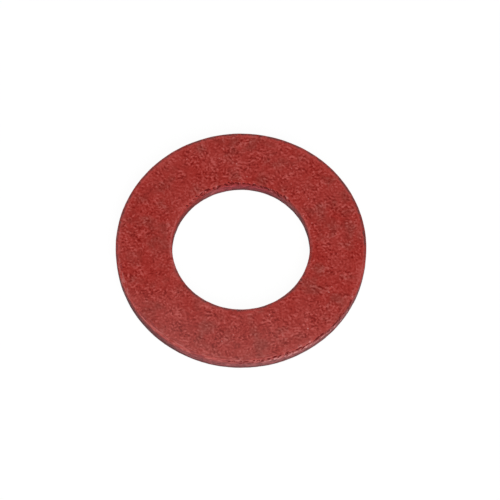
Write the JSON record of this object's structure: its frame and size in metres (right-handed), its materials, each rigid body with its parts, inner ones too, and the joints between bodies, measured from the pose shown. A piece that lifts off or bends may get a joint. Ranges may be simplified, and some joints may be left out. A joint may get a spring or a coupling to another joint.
{
  "type": "fibre flat washer",
  "caption": "Flat ring punched from red vulcanised fibre sheet, which seals, insulates or spreads load under a bolt head, nut or pipe fitting.",
  "frame": {"origin": "centre of the bore, in the plane of the lower face that the washer lies on", "axes": "+Z along the bore axis, up from the lower face to the upper face; X and Y are alike, because the ring is round"},
  "size_m": [0.024, 0.024, 0.0015],
  "materials": {
    "red_fibre": "matte"
  },
  "bodies": {
    "root": {"fibre_washer": "red_fibre"}
  },
  "joints": []
}
